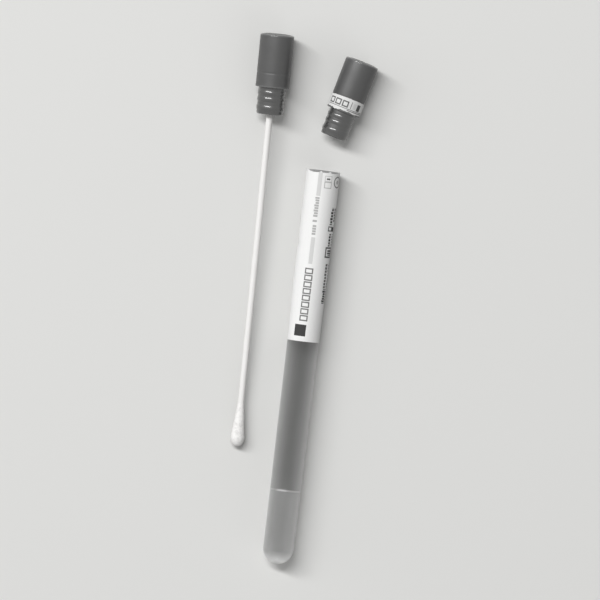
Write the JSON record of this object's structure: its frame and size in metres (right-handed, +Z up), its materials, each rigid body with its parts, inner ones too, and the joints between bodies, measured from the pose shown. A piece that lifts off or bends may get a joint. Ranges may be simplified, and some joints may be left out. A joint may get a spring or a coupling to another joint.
{
  "type": "specimen swab tube",
  "caption": "Round-bottomed specimen tube with label and set transport gel, lying open beside its pulled stopper and a swab whose cap plugs the same mouth.",
  "frame": {"origin": "on the floor, under the middle of the box round the three laid pieces", "axes": "+Z up from the floor; +Y along the tube, from its round end to its mouth and on to the caps; +X to the right seen from above with the mouth away"},
  "size_m": [0.0456, 0.1996, 0.0134],
  "materials": {
    "tube_plastic": "translucent natural polypropylene, moulded, fine matt surface",
    "gel": "cloudy set agar gel, moist",
    "label_paper": "coated white label paper with grey and black print",
    "cap_plastic": "grey polyethylene, moulded, soft satin sheen",
    "stick_plastic": "white polystyrene, extruded, satin",
    "bud_fibre": "wound white viscose fibre, matt and slightly fuzzy"
  },
  "bodies": {
    "root": {"tube": "tube_plastic", "transport_gel": "gel", "tube_label": "label_paper", "tube_stopper": "cap_plastic", "seal_strip": "label_paper", "swab_cap": "cap_plastic", "swab_stick": "stick_plastic", "swab_bud": "bud_fibre"}
  },
  "joints": []
}
